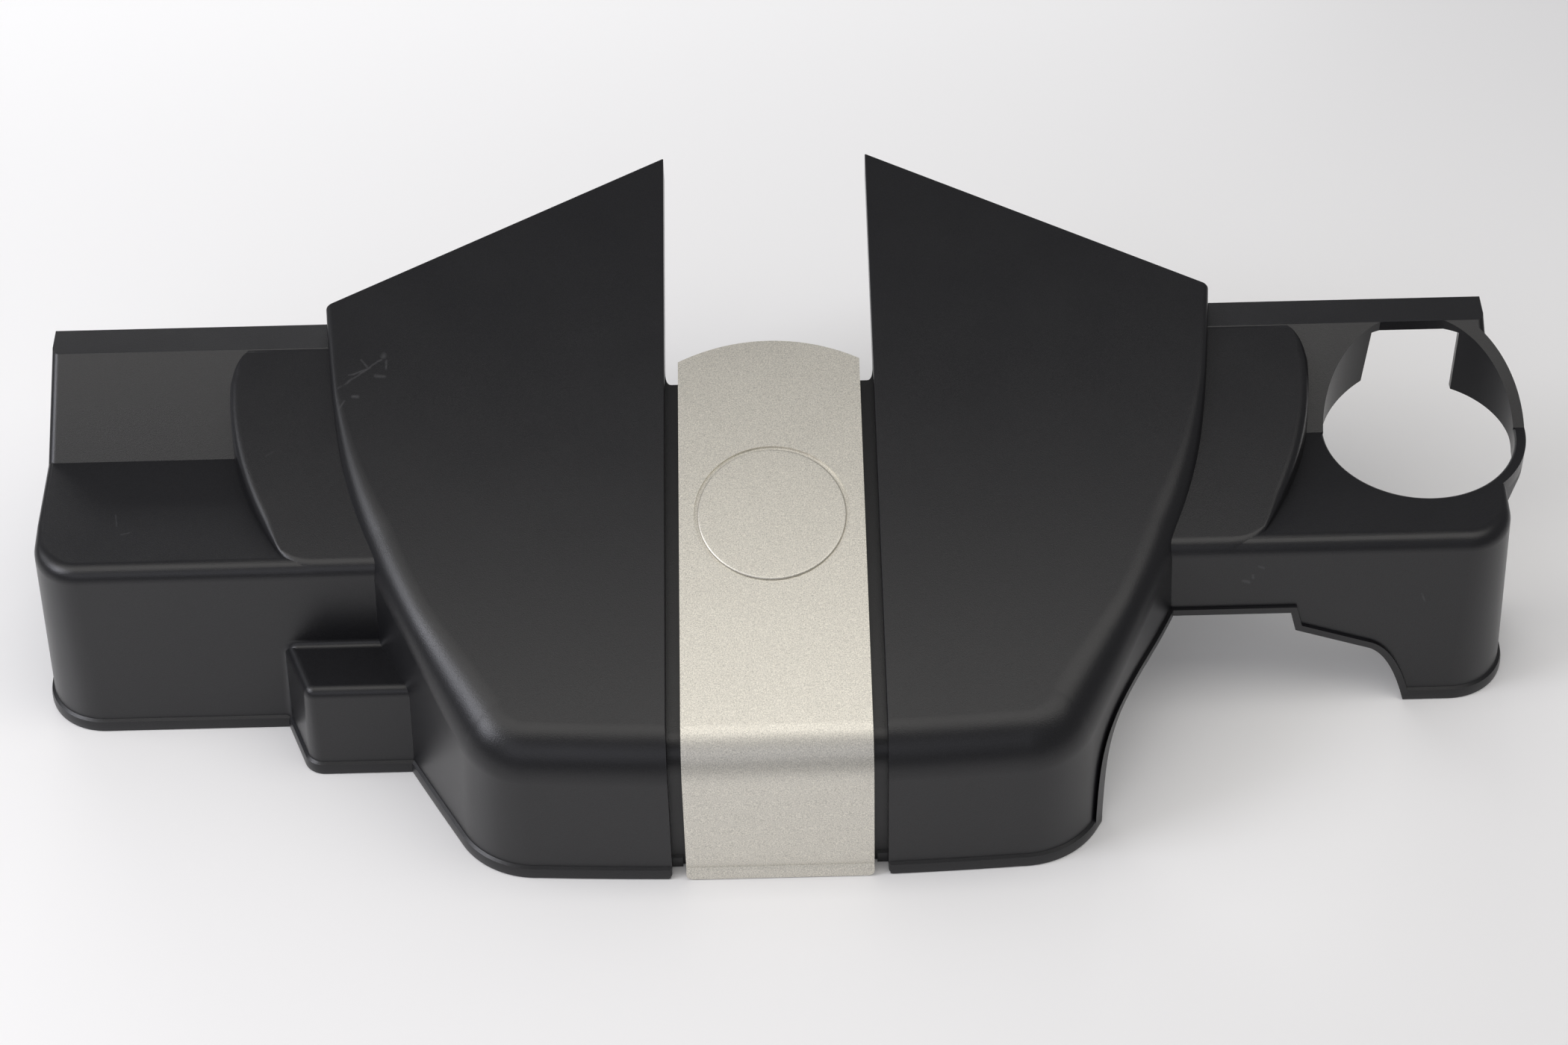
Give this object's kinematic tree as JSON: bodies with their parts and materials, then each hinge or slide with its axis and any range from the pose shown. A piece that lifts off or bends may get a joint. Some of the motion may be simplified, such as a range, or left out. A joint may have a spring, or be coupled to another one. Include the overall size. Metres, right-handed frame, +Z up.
{
  "type": "engine cover",
  "caption": "Moulded engine top cover with two wings, a silver centre panel in a sunk channel, side arms, a filler hole, and bosses with rubber grommets below.",
  "frame": {"origin": "centre line of the cover, at the foot of its front face, in the plane of the lower rim", "axes": "+X to the side of the arm with the filler hole, +Y to the rear, +Z up"},
  "size_m": [0.7118, 0.3206, 0.1656],
  "materials": {
    "shell": "fine-grained satin black",
    "panel": "fine metallic silver, satin",
    "disc": "silver, satin",
    "washers": "plain spring steel",
    "grommets": "matt black"
  },
  "bodies": {
    "root": {"cover_shell": "shell", "centre_panel": "panel", "badge_disc": "disc", "panel_push_nuts": "washers", "grommet_front_left": "grommets", "grommet_front_right": "grommets", "grommet_rear_left": "grommets", "grommet_rear_right": "grommets"}
  },
  "joints": []
}
